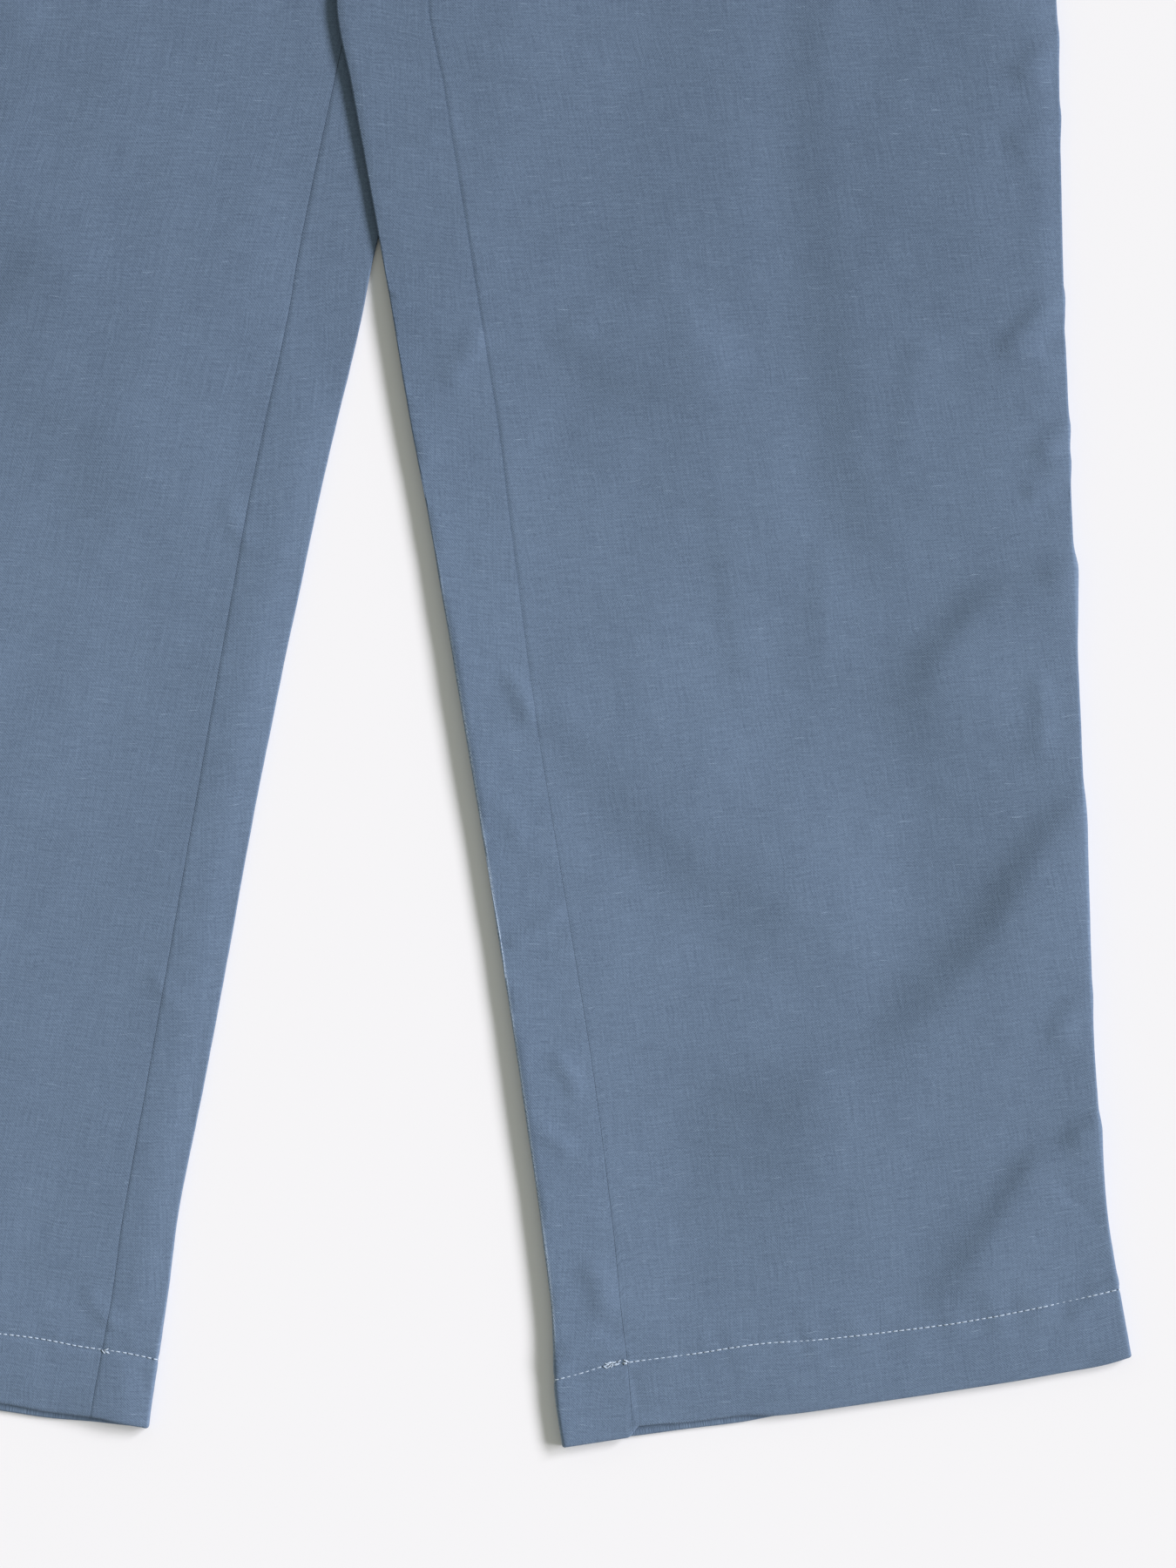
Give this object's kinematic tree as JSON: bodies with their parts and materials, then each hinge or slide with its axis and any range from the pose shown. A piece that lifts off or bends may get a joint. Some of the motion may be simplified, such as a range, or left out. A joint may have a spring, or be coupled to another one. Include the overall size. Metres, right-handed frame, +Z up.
{
  "type": "trousers",
  "caption": "Wide-leg linen pull-on trousers laid flat on their back, with a gathered elastic waist, inseams rolled to the front and turned-up hems.",
  "frame": {"origin": "on the surface the trousers lie on, under the middle of their outline", "axes": "+Z up from the surface, through the back to the front; +Y from the hems towards the waist; +X towards the wearer's left leg"},
  "size_m": [0.6836, 1.0024, 0.0122],
  "materials": {
    "linen": "slate-blue plain-woven linen with fine slubs, matt"
  },
  "bodies": {
    "root": {"front_left": "linen", "front_right": "linen", "back_left": "linen", "back_right": "linen", "waistband": "linen"}
  },
  "joints": []
}
